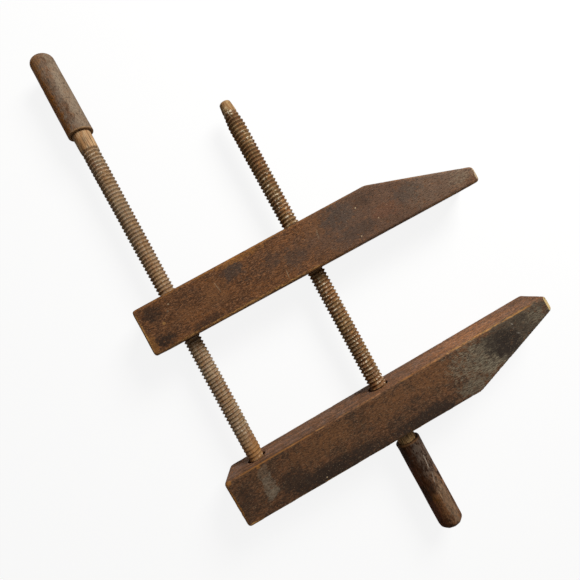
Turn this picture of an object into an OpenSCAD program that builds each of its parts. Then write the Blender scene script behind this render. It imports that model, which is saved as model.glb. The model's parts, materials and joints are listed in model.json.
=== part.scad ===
// Wooden handscrew clamp lying on its side: two bevelled jaws on two wooden screws with turned handles.
// +X runs along the jaws to their tips, +Y along the screws from the lower jaw to the upper jaw, and +Z up
// from the bench. The origin is on the lower jaw's bench face, under the axis of the middle screw.
// The upper jaw is tapped for both screws. The middle screw passes through a clear hole in the lower jaw,
// and the tip of the end screw bears in a blind socket there, which lets the jaws stand out of parallel.

/* [Jaws] */
// Length of the upper jaw, from its butt to its tip
upper_l = 375.5; // [330:0.5:420]
// Length of the lower jaw, from its butt to its tip
lower_l = 378.5; // [330:0.5:420]
// Thickness of each jaw, up from the bench
jaw_t = 51; // [40:1:70]
// Depth of the upper jaw, from its clamping face to its back
upper_d = 52; // [40:0.5:70]
// Depth of the lower jaw, from its clamping face to its back
lower_d = 51.5; // [40:0.5:70]
// Length of the bevel on the upper jaw's nose
upper_bevel_l = 106; // [60:1:130]
// Length of the bevel on the lower jaw's nose
lower_bevel_l = 104; // [60:1:130]
// Depth left at the tip of the upper jaw
upper_tip_d = 16.5; // [8:0.5:24]
// Depth left at the tip of the lower jaw
lower_tip_d = 15.5; // [8:0.5:24]
// Width of the flat worn on each corner and edge of a jaw
edge_wear = 1.5; // [0.5:0.1:3]

/* [Setting of the jaws] */
// Opening between the clamping faces, measured along the middle screw
opening = 140.4; // [80:0.1:200]
// Angle by which the lower jaw stands out of parallel, its tip nearer to the upper jaw
skew = 1.85; // [0:0.05:2.5]

/* [Screws] */
// Distance between the axes of the two screws
screw_spacing = 150.5; // [120:0.5:170]
// Distance from the butt of the jaws to the axis of the end screw
end_setback = 36; // [25:1:50]
// Length of the middle screw, from its handle to its tip
middle_screw_l = 409; // [380:1:440]
// Length of the end screw, from its handle to its tip
end_screw_l = 411; // [380:1:440]
// Outside diameter of the thread
thread_d = 19; // [16:0.5:22]
// Diameter of the plain shank where it meets the handle
shank_d = 20; // [16:0.5:23]
// Length of the plain shank of the middle screw
middle_shank_l = 51; // [20:1:60]
// Length of the plain shank of the end screw
end_shank_l = 21; // [10:1:60]
// Length of the tapered nose
nose_l = 28; // [15:1:40]
// Diameter of the nose at its tip
nose_d = 12.7; // [8:0.1:15]
// Chamfer on the tip of the nose and on the end of the tenon
tip_ease = 1.2; // [0.5:0.1:2]

/* [Holes in the jaws] */
// Depth of the blind socket for the end screw
socket_l = 19.5; // [10:0.5:30]
// Clearance around a thread in its tapped hole
thread_clear = 0.3; // [0.2:0.05:0.6]
// Least clearance around the leaning middle screw in its hole
hole_clear = 0.45; // [0.3:0.05:1.5]
// Least clearance around the end screw in its socket
socket_clear = 0.4; // [0.3:0.05:1.5]
// Clearance between the tip of the end screw and the floor of its socket
seat_clear = 0.3; // [0.2:0.05:0.6]

/* [Handles] */
// Length of the middle screw's handle
middle_handle_l = 101; // [80:1:130]
// Length of the end screw's handle
end_handle_l = 93; // [80:1:130]
// Diameter of the middle screw's handle, the same all along
middle_handle_d = 27; // [25:0.5:34]
// Diameter of the end screw's handle at its rim, where the shank enters
end_handle_d = 27.5; // [25:0.5:34]
// Diameter of that handle at the start of its rounded end
end_handle_small_d = 26; // [24:0.5:34]
// Radius of the rounded end of a handle
handle_round = 7; // [4:0.5:12]
// Chamfer on the rim
rim_ease = 0.8; // [0.4:0.1:2]
// Room around the shank in the mouth of its handle
mouth_gap = 1; // [0.5:0.1:2]
// Depth of that mouth
mouth_l = 3; // [1:0.5:6]
// Slack between the middle handle and the back of the lower jaw
handle_slack = 13.5; // [1:0.5:30]
// Diameter of the tenon that is glued into a handle
tenon_d = 14; // [10:0.5:15]
// Length of that tenon
tenon_l = 45; // [25:1:60]
// Room for glue around the tenon
glue_gap = 0.1; // [0.05:0.05:0.3]
// Depth of the handle's bore beyond the tenon
bore_spare = 1.5; // [0.5:0.5:5]

/* [Hidden] */
$fn = 64;
jaw_color = "#5b3f2a";
screw_color = "#8a7355";
handle_color = "#46301f";

// Where the jaws begin, the height of both screws, and a length beyond either jaw
butt_x = -(screw_spacing + end_setback);
axis_z = jaw_t/2;
reach = upper_l + lower_l;

// Faces of the jaws, measured along the middle screw
lower_half = lower_d/2/cos(skew);
upper_face_y = lower_half + opening;

// Holes, wide enough for a screw that leans by the skew
tapped_d = thread_d + 2*thread_clear;
stem_d = max(shank_d, thread_d);
clear_d = stem_d/cos(skew) + lower_d*tan(skew) + 2*hole_clear;
socket_d = thread_d/cos(skew) + socket_l*tan(skew) + 2*socket_clear;

// The socket, in the lower jaw's own directions, centred on the end screw half way down
socket_floor = lower_d/2 - socket_l;
socket_x = (socket_floor + socket_l/2)*tan(skew) - screw_spacing/cos(skew);

// Each screw is placed by its rim, the plane where shank and handle meet
end_tip_y = (socket_floor + seat_clear + (nose_d/2 - screw_spacing)*sin(skew))/cos(skew);
end_rim_y = end_tip_y + end_screw_l;
middle_rim_y = -lower_half - handle_slack;

// The shoulder of a screw sits on the floor of its handle's mouth, with the tenon beyond it
mouth_d = shank_d + 2*mouth_gap;
tenon_end = mouth_l + tenon_l;
bore_d = tenon_d + 2*glue_gap;
bore_l = tenon_end + bore_spare;

// The point at distance d from p on the way to q
function toward(p, q, d) = p + d*(q - p)/norm(q - p);

// An outline with every corner cut back by the worn flat
function worn(pts) = [
    for (i = [0:len(pts) - 1])
        each [
            toward(pts[i], pts[(i + len(pts) - 1) % len(pts)], edge_wear),
            toward(pts[i], pts[(i + 1) % len(pts)], edge_wear)
        ]
];

// A quarter of a circle about c, from its widest point round to the axis side of its far end
function quarter(c, r) = [for (a = [0:10:90]) c + r*[cos(a), -sin(a)]];

// A wide bar whose near side lies along one stretch of an outline, with both edges of that side worn
module worn_bar(from, to) {
    run = to - from;
    translate([from.x, from.y, 0])
        rotate([0, 0, atan2(run.y, run.x)])
            translate([-reach, 0, 0])
                rotate([90, 0, 90])
                    linear_extrude(2*reach + norm(run))
                        polygon([
                            [0, edge_wear],
                            [edge_wear, 0],
                            [reach, 0],
                            [reach, jaw_t],
                            [edge_wear, jaw_t],
                            [0, jaw_t - edge_wear]
                        ]);
}

// A jaw with its clamping face on y = 0 and its back at y = depth, bevelled down to the tip.
// It is what the bars along all its sides have in common.
module jaw_blank(l, depth, bevel_l, tip_d) {
    tip_x = butt_x + l;
    outline = worn([
        [butt_x, 0],
        [tip_x, 0],
        [tip_x, tip_d],
        [tip_x - bevel_l, depth],
        [butt_x, depth]
    ]);
    intersection_for (i = [0:len(outline) - 1])
        worn_bar(outline[i], outline[(i + 1) % len(outline)]);
}

// A hole along +Y from y = 0
module hole(x, d, l) {
    translate([x, 0, axis_z])
        rotate([-90, 0, 0])
            cylinder(d = d, h = l);
}

// The lower jaw turns by the skew about the middle screw
module lower_jaw() color(jaw_color) {
    rotate([0, 0, skew])
        difference() {
            translate([0, lower_d/2, jaw_t])
                rotate([180, 0, 0])
                    jaw_blank(lower_l, lower_d, lower_bevel_l, lower_tip_d);
            translate([0, -lower_d, 0])
                hole(0, clear_d, 2*lower_d);
            translate([0, socket_floor, 0])
                hole(socket_x, socket_d, lower_d);
        }
}

module upper_jaw() color(jaw_color) {
    translate([0, upper_face_y, 0])
        difference() {
            jaw_blank(upper_l, upper_d, upper_bevel_l, upper_tip_d);
            for (x = [-screw_spacing, 0])
                translate([0, -upper_d/2, 0])
                    hole(x, tapped_d, 2*upper_d);
        }
}

// A screw along +Z, turned from one stick, with its shoulder and tenon below the rim at z = 0
module screw_blank(l, shank_l) {
    rotate_extrude()
        polygon([
            [0, -tenon_end],
            [tenon_d/2 - tip_ease, -tenon_end],
            [tenon_d/2, -tenon_end + tip_ease],
            [tenon_d/2, -mouth_l],
            [shank_d/2, -mouth_l],
            [thread_d/2, shank_l],
            [thread_d/2, l - nose_l],
            [nose_d/2, l - tip_ease],
            [nose_d/2 - tip_ease, l],
            [0, l]
        ]);
}

// A handle below z = 0, with a mouth for the shank, a bore for the tenon and a rounded far end
module handle_blank(l, rim_d, end_d) {
    rotate_extrude()
        polygon(concat(
            [
                [0, -bore_l],
                [bore_d/2, -bore_l],
                [bore_d/2, -mouth_l],
                [mouth_d/2, -mouth_l],
                [mouth_d/2, 0],
                [rim_d/2 - rim_ease, 0],
                [rim_d/2, -rim_ease]
            ],
            quarter([end_d/2 - handle_round, handle_round - l], handle_round),
            [[0, -l]]
        ));
}

// The middle screw points up to the upper jaw, with its handle behind the lower jaw
module on_middle_axis() {
    translate([0, middle_rim_y, axis_z])
        rotate([-90, 0, 0])
            children();
}

// The end screw points down to its socket, with its handle beyond the upper jaw
module on_end_axis() {
    translate([-screw_spacing, end_rim_y, axis_z])
        rotate([90, 0, 0])
            children();
}

module middle_screw() color(screw_color) on_middle_axis() screw_blank(middle_screw_l, middle_shank_l);

module middle_handle() color(handle_color) {
    on_middle_axis()
        handle_blank(middle_handle_l, middle_handle_d, middle_handle_d);
}

module end_screw() color(screw_color) on_end_axis() screw_blank(end_screw_l, end_shank_l);

module end_handle() color(handle_color) {
    on_end_axis()
        handle_blank(end_handle_l, end_handle_d, end_handle_small_d);
}

lower_jaw();
upper_jaw();
middle_screw();
middle_handle();
end_screw();
end_handle();
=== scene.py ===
"""Old wooden handscrew clamp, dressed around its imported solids.

Two bevelled jaws ride on two wooden screws, and each screw is turned by a glued-on handle. Lengths are in
metres in the frame of the solids: +X along the jaws to their tips, +Y along the screws, +Z up from the
bench. Sizes whose names end in _mm are millimetres.
"""

import json
import logging
import math
from dataclasses import dataclass, field
from enum import Enum

import bmesh
import bpy
import numpy as np
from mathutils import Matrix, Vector, noise


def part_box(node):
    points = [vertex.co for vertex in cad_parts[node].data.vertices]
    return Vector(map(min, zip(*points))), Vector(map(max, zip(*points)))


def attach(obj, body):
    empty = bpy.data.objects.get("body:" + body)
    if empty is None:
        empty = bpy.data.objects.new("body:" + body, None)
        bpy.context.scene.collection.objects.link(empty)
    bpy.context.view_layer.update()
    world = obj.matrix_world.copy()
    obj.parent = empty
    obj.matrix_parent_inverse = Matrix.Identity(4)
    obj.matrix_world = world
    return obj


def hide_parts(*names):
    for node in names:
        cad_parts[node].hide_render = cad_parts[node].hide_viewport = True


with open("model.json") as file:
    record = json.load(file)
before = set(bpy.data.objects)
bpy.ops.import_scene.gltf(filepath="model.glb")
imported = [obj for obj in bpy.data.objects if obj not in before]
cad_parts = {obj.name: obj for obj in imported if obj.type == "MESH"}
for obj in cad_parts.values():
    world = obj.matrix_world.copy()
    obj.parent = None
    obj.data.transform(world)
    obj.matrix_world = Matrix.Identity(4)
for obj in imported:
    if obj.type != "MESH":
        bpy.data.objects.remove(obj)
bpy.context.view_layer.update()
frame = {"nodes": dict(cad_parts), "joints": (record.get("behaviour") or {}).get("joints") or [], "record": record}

LOG = logging.getLogger("handscrew")
MM = 0.001
FULL_TURN = 2 * math.pi
# The grain of a screw or a handle runs along Y, and this turns it onto the first axis
GRAIN_ALONG_Y = math.radians(90)
# Blender's wave node goes round by 20 radians for each unit of its scale
WAVE_RADIANS = 20

Socket = bpy.types.NodeSocket
Object = bpy.types.Object
Material = bpy.types.Material
Point = tuple[float, float, float]
Span = tuple[float, float]
Flats = list[tuple[np.ndarray, float]]
Faces = list[tuple[int, ...]]


class Tint(str, Enum):
    """Colours that time left on the wood, and some that are painted light and shade, as sRGB hex values."""

    # grime, and painted shade in the ring where a shank goes into its handle
    GRIME_AND_SHADE = "#2a211b"
    SCORCH = "#26201c"
    SMOKE = "#433932"
    SOOT = "#453f39"
    # painted shade, laid along the side of a handle away from the lamp
    PAINTED_SHADE = "#351b0a"
    OLIVE = "#4d4539"
    ASH = "#857a65"
    MAUVE = "#5d4739"
    # pale specks and scratches, and painted highlights on a handle's ridge
    SPECK_AND_GLINT = "#a08c70"
    WARM = "#7a5233"
    RED = "#74452c"
    RUST = "#855220"
    FACE = "#c08358"
    SMEAR = "#7a6c5a"
    # painted highlight, where a polished ridge or a scratch catches the lamp
    GLINT = "#b3a899"
    # dust, and painted sheen where it lies on the lit side of a handle
    DUST_AND_SHEEN = "#94846f"
    RUBBED = "#966430"
    BARE = "#b5854c"
    CUT = "#bda270"
    PALE = "#cbb08a"
    CREAM = "#e2d2b4"


class Heading(Enum):
    """One of the two ways along the screws."""

    UP = 1
    DOWN = -1


def linear(hex_colour: str) -> tuple[float, float, float, float]:
    """Turn an sRGB hex colour into linear light.

    Args:
        hex_colour: Six hex digits after a hash sign.

    Returns:
        Red, green, blue and a full alpha.
    """
    parts = [int(hex_colour[i:i + 2], 16) / 255 for i in (1, 3, 5)]
    return (*[c / 12.92 if c <= 0.04045 else ((c + 0.055) / 1.055) ** 2.4 for c in parts], 1.0)


def add_node(
    tree: bpy.types.NodeTree,
    kind: str,
    settings: dict[str, object] | None = None,
    links: dict[str | int, object] | None = None,
) -> bpy.types.Node:
    """Add a node with its settings and links.

    Args:
        tree: The node tree that gets the node.
        kind: The node's type name.
        settings: The node's own properties.
        links: For each input, a socket to link from or a value to set.

    Returns:
        The new node.
    """
    node = tree.nodes.new(kind)
    for key, value in (settings or {}).items():
        setattr(node, key, value)
    for key, value in (links or {}).items():
        if isinstance(value, Socket):
            tree.links.new(value, node.inputs[key])
        else:
            node.inputs[key].default_value = value
    return node


def noise_at(points_mm: np.ndarray, size_mm: float, seed: float) -> np.ndarray:
    """Sample smooth noise from -1 to 1, in hills of the given size, at each row of points."""
    return np.array([noise.noise(Vector(p)) for p in points_mm / size_mm + seed])


def mesh_object(name: str, points: np.ndarray, faces: Faces) -> Object:
    """Make a smooth-shaded mesh object.

    Args:
        name: Name of the piece.
        points: Points in metres, one in each row.
        faces: Point numbers of each face.

    Returns:
        The object, linked to the scene.
    """
    mesh = bpy.data.meshes.new(name)
    mesh.from_pydata(points.tolist(), [], faces)
    mesh.polygons.foreach_set("use_smooth", np.ones(len(mesh.polygons), dtype=bool))
    mesh.update()
    obj = bpy.data.objects.new(name, mesh)
    bpy.context.collection.objects.link(obj)
    return obj


def store(obj: Object, name: str, values: np.ndarray) -> None:
    """Store one number for each point of a mesh, for its finish to read."""
    layer = obj.data.attributes.new(name, "FLOAT", "POINT")
    layer.data.foreach_set("value", values.astype(np.float32))


@dataclass(frozen=True)
class Mark:
    """One stain, rub, scratch, painted highlight or painted shade, in the piece's own millimetres, with the
    grain along the first axis.

    Attributes:
        centre: Middle of the mark.
        half: Half of its length, width and depth.
        tint: Its colour.
        strength: How much of what lies under it is covered.
        turn_deg: Angle by which it is turned about Z.
        ragged: How far its outline wanders, as a share of its size.
        square: Whether it has corners.
        streaked: Whether the grain breaks it up into streaks.
    """

    centre: Point
    half: Point
    tint: Tint
    strength: float
    turn_deg: float = 0.0
    ragged: float = 1.1
    square: bool = False
    streaked: bool = False


class WoodSurface:
    """Builds up one wood finish layer by layer, from the ground colour to the marks of use and painted light."""

    wander_mm: float = 5
    mark_edge: Span = (0.6, 1.1)
    ring_edge: Span = (0.45, 0.9)

    def __init__(self, name: str, grain_turn: float, ground: str) -> None:
        """Start a material whose patterns are measured in millimetres along the grain.

        Args:
            name: Name of the material.
            grain_turn: Angle about Z that brings the grain onto the first axis.
            ground: The sRGB hex colour of the bare ground.
        """
        self.material = bpy.data.materials.new(name)
        self.material.use_nodes = True
        self.tree = self.material.node_tree
        self.tree.nodes.clear()
        place = add_node(self.tree, "ShaderNodeTexCoord")
        self.mm = add_node(self.tree, "ShaderNodeMapping", None, {
            "Vector": place.outputs["Object"],
            "Rotation": (0, 0, grain_turn),
            "Scale": (1 / MM, 1 / MM, 1 / MM),
        }).outputs[0]
        wander = add_node(self.tree, "ShaderNodeTexNoise", None, {
            "Vector": self.mm, "Scale": 1 / self.wander_mm, "Detail": 4, "Roughness": 0.65,
        })
        self.wander = add_node(self.tree, "ShaderNodeVectorMath", {"operation": "SUBTRACT"}, {
            0: wander.outputs["Color"], 1: (0.5, 0.5, 0.5),
        }).outputs[0]
        self.colour: Socket | tuple[float, ...] = linear(ground)
        self.broken = self.cloud(2.4, 77, (0.22, 0.50), stretch=1.5, detail=4)
        self.streaks = self.cloud(0.9, 79, (0.40, 0.60), stretch=6)

    def cloud(
        self,
        size_mm: float,
        seed: float,
        span: Span,
        most: float = 1.0,
        stretch: float = 1.0,
        detail: float = 3.0,
    ) -> Socket:
        """Make a mask of soft blotches, or of streaks where they are stretched along the grain.

        Args:
            size_mm: Width of a blotch across the grain.
            seed: Shift that picks another piece of the noise.
            span: The noise values where the mask begins and where it is full.
            most: Value of the full mask.
            stretch: Length of a blotch over its width.
            detail: How many finer octaves are added.

        Returns:
            The mask.
        """
        across = 1 / size_mm
        spot = add_node(self.tree, "ShaderNodeMapping", None, {
            "Vector": self.mm,
            "Location": (seed, seed * 1.7, seed * 0.6),
            "Scale": (across / stretch, across, across),
        })
        fog = add_node(self.tree, "ShaderNodeTexNoise", None, {
            "Vector": spot.outputs[0], "Scale": 1.0, "Detail": detail, "Roughness": 0.6,
        })
        return add_node(self.tree, "ShaderNodeMapRange", {"interpolation_type": "SMOOTHSTEP"}, {
            "Value": fog.outputs[0], "From Min": span[0], "From Max": span[1], "To Min": 0.0, "To Max": most,
        }).outputs[0]

    def rings(self, pith: Point, year_mm: float, most: float) -> Socket:
        """Make a mask of the year rings that show on end grain.

        Args:
            pith: A point on the line in the grain's direction that the rings lie round.
            year_mm: Width of a year.
            most: Value of the full mask.

        Returns:
            The mask.
        """
        round_pith = add_node(self.tree, "ShaderNodeMapping", None, {
            "Vector": self.mm, "Location": tuple(-c for c in pith),
        })
        wave = add_node(self.tree, "ShaderNodeTexWave", {"wave_type": "RINGS", "rings_direction": "X"}, {
            "Vector": round_pith.outputs[0], "Scale": FULL_TURN / (WAVE_RADIANS * year_mm),
            "Distortion": 4.0, "Detail": 3.0, "Detail Scale": 1.3,
        })
        begin, full = self.ring_edge
        return add_node(self.tree, "ShaderNodeMapRange", {"interpolation_type": "SMOOTHSTEP"}, {
            "Value": wave.outputs["Fac"], "From Min": begin, "From Max": full, "To Min": 0.0, "To Max": most,
        }).outputs[0]

    def near(self, layer: str, full: float, gone: float, most: float = 1.0) -> Socket:
        """Make a mask from a number that the mesh carries.

        Args:
            layer: Name of the attribute.
            full: Its value where the mask is full.
            gone: Its value where the mask ends.
            most: Value of the full mask.

        Returns:
            The mask.
        """
        value = add_node(self.tree, "ShaderNodeAttribute", {"attribute_name": layer})
        (low, at_low), (high, at_high) = sorted([(full, most), (gone, 0.0)])
        return add_node(self.tree, "ShaderNodeMapRange", {"interpolation_type": "SMOOTHSTEP"}, {
            "Value": value.outputs["Fac"], "From Min": low, "From Max": high,
            "To Min": at_low, "To Max": at_high,
        }).outputs[0]

    def spot(self, spot: Mark) -> Socket:
        """Make the mask of one mark, with a ragged outline.

        Args:
            spot: The mark.

        Returns:
            The mask.
        """
        inside = add_node(self.tree, "ShaderNodeMapping", {"vector_type": "TEXTURE"}, {
            "Vector": self.mm,
            "Location": spot.centre,
            "Rotation": (0, 0, math.radians(spot.turn_deg)),
            "Scale": spot.half,
        })
        torn = add_node(self.tree, "ShaderNodeVectorMath", {"operation": "MULTIPLY_ADD"}, {
            0: self.wander, 1: (2 * spot.ragged,) * 3, 2: inside.outputs[0],
        })
        where = torn.outputs[0]
        if spot.square:
            # squared distances along and across fall off as in a box, not as in a disc
            where = add_node(self.tree, "ShaderNodeVectorMath", {"operation": "MULTIPLY"}, {
                0: where, 1: where,
            }).outputs[0]
        far = add_node(self.tree, "ShaderNodeVectorMath", {"operation": "LENGTH"}, {0: where})
        fade, end = self.mark_edge
        return add_node(self.tree, "ShaderNodeMapRange", {"interpolation_type": "SMOOTHSTEP"}, {
            "Value": far.outputs["Value"], "From Min": fade, "From Max": end,
            "To Min": spot.strength, "To Max": 0.0,
        }).outputs[0]

    def lay(self, colour: str, mask: Socket, *within: Socket) -> None:
        """Lay a colour over what is there.

        Args:
            colour: The sRGB hex colour.
            mask: Where it covers, and how much.
            within: Further masks that hold it in.
        """
        for limit in within:
            held = add_node(self.tree, "ShaderNodeMath", {"operation": "MULTIPLY"}, {0: mask, 1: limit})
            mask = held.outputs[0]
        # inputs 6 and 7 of this node are its two colours, and output 2 is their mix
        self.colour = add_node(self.tree, "ShaderNodeMix", {"data_type": "RGBA"}, {
            0: mask, 6: self.colour, 7: linear(colour),
        }).outputs[2]

    def lay_marks(self, marks: tuple[Mark, ...]) -> None:
        """Lay marks one over the other, each broken up by the surface or by the grain."""
        for spot in marks:
            self.lay(spot.tint, self.spot(spot), self.streaks if spot.streaked else self.broken)

    def close(
        self,
        dull: Socket,
        rough: Span,
        relief: Socket,
        relief_mm: float,
        specular: float,
    ) -> Material:
        """Finish the material.

        Args:
            dull: Where the surface is duller, from 0 to 1.
            rough: Least and most roughness.
            relief: Fine relief of the surface, from 0 to 1.
            relief_mm: Depth of that relief.
            specular: Specular level, the same all over.

        Returns:
            The material.
        """
        roughness = add_node(self.tree, "ShaderNodeMapRange", None, {
            "Value": dull, "To Min": rough[0], "To Max": rough[1],
        })
        bump = add_node(self.tree, "ShaderNodeBump", None, {
            "Strength": 1.0, "Distance": relief_mm * MM, "Height": relief,
        })
        skin = add_node(self.tree, "ShaderNodeBsdfPrincipled", None, {
            "Base Color": self.colour, "Roughness": roughness.outputs[0], "Normal": bump.outputs[0],
            "IOR": 1.5, "Specular IOR Level": specular,
        })
        add_node(self.tree, "ShaderNodeOutputMaterial", None, {"Surface": skin.outputs[0]})
        return self.material


@dataclass(frozen=True)
class OiledJawWood:
    """Old beech, planed, oiled and darkened by a century of hands and glue.

    Oil and soot give the eye a deep brown ground with darker clouds. Hands rub the arrises back to
    orange-brown wood, and the pores show as fine dark flecks along the grain.
    """

    name: str
    ground: str
    deep: str
    warm: str
    smoke: str
    fleck: str
    face: str
    cut: Tint
    pith: Point
    seed: float
    marks: tuple[Mark, ...]
    year_mm: float = 3.4
    # dry old oil throws back little light
    rough: Span = (0.55, 0.8)
    relief_mm: float = 0.22
    specular: float = 0.08

    def material(self, grain: float) -> Material:
        """Make the finish of a jaw.

        Args:
            grain: Angle of the jaw's grain from +X.

        Returns:
            The material.
        """
        wood, seed = WoodSurface(self.name, -grain, self.ground), self.seed
        # oil and soot, in clouds from a hand's breadth down to a finger's
        wood.lay(self.deep, wood.cloud(34, seed, (0.42, 0.60), most=0.75, stretch=1.6, detail=6))
        wood.lay(self.warm, wood.cloud(17, seed + 3, (0.50, 0.64), most=0.6, stretch=1.8, detail=6))
        wood.lay(self.smoke, wood.cloud(9, seed + 4, (0.50, 0.62), most=0.65, stretch=1.5, detail=6))
        wood.lay(self.warm, wood.cloud(5, seed + 8, (0.50, 0.60), most=0.55, stretch=1.6, detail=4))
        # the grain, planed along the jaw
        wood.lay(self.deep, wood.cloud(1.6, seed + 5, (0.44, 0.64), most=0.5, stretch=26, detail=4))
        wood.lay(self.fleck, wood.cloud(1.1, seed + 6, (0.50, 0.68), most=0.4, stretch=18))
        self.rub_face(wood)
        # dirt and bare fibres, dappled over all sides, with flecks drawn as wide as a pixel or more
        wood.lay(self.deep, wood.cloud(3.4, seed + 7, (0.40, 0.66), most=0.62, stretch=2.2, detail=5))
        wood.lay(self.deep, wood.cloud(0.9, seed + 10, (0.48, 0.62), most=0.55, stretch=2.5, detail=2))
        wood.lay(self.fleck, wood.cloud(1.2, seed + 9, (0.50, 0.64), most=0.6, stretch=2.5))
        wood.lay(self.deep, wood.cloud(1.0, seed + 12, (0.48, 0.62), most=0.35, stretch=2.5))
        wood.lay(self.fleck, wood.cloud(1.0, seed + 14, (0.50, 0.64), most=0.4, stretch=2.5))
        wood.lay_marks(self.marks)
        # grit that the hands rubbed in over the stains
        wood.lay(self.deep, wood.cloud(1.4, seed + 16, (0.48, 0.62), most=0.3, stretch=2.5))
        # pores of 0.1 mm are drawn 0.7 mm wide, so that they show in the render
        wood.lay(Tint.GRIME_AND_SHADE, wood.cloud(0.7, seed + 11, (0.54, 0.65), most=0.75, stretch=4, detail=1))
        wood.lay(Tint.SPECK_AND_GLINT, wood.cloud(0.9, seed + 13, (0.64, 0.76), most=0.45, stretch=1.5, detail=1))
        self.soak_ends(wood)
        self.rub_edges(wood)
        dull = wood.cloud(14, seed + 19, (0.3, 0.7))
        grit = wood.cloud(0.9, seed + 21, (0.2, 0.8), stretch=5, detail=4)
        return wood.close(dull, self.rough, grit, self.relief_mm, self.specular)

    def rub_face(self, wood: WoodSurface) -> None:
        """Rub the clamping face lighter, in long streaks that the work left on it.

        Args:
            wood: The finish so far.
        """
        seed, face = self.seed, wood.near("face_mm", full=0.6, gone=2.0)
        wood.lay(self.face, face, wood.cloud(40, seed + 23, (0.1, 0.4), most=0.85))
        wood.lay(self.deep, face, wood.cloud(5, seed + 25, (0.46, 0.60), most=0.55, stretch=30))
        wood.lay(Tint.FACE, face, wood.cloud(3, seed + 27, (0.50, 0.64), most=0.5, stretch=30))

    def soak_ends(self, wood: WoodSurface) -> None:
        """Darken the end grain, which drinks more oil, and show its year rings and open pores.

        Args:
            wood: The finish so far.
        """
        seed, ends = self.seed, wood.near("end_mm", full=0.3, gone=0.9)
        wood.lay(self.deep, ends, wood.cloud(18, seed + 29, (0.25, 0.55), most=0.6))
        wood.lay(self.fleck, ends, wood.rings(self.pith, self.year_mm, most=0.25))
        wood.lay(Tint.GRIME_AND_SHADE, ends, wood.cloud(0.9, seed + 33, (0.54, 0.65), most=0.7, detail=2))

    def rub_edges(self, wood: WoodSurface) -> None:
        """Rub the arrises back to bare wood in places, and lay bare the cut on the tip.

        Args:
            wood: The finish so far.
        """
        seed, edge, arris = self.seed, wood.near("edge_mm", 0.8, 2.0), wood.near("edge_mm", 0.7, 1.3)
        rubbed = wood.cloud(16, seed + 15, (0.46, 0.62), most=0.75, stretch=2.5, detail=6)
        bare = wood.cloud(8, seed + 17, (0.50, 0.62), most=0.85, stretch=2, detail=6)
        wood.lay(Tint.RUBBED, edge, rubbed)
        wood.lay(Tint.BARE, arris, bare)
        wood.lay(self.cut, wood.near("cut", 0.9, 0.3), wood.cloud(4, seed + 18, (0.25, 0.5), most=0.95))


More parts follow.
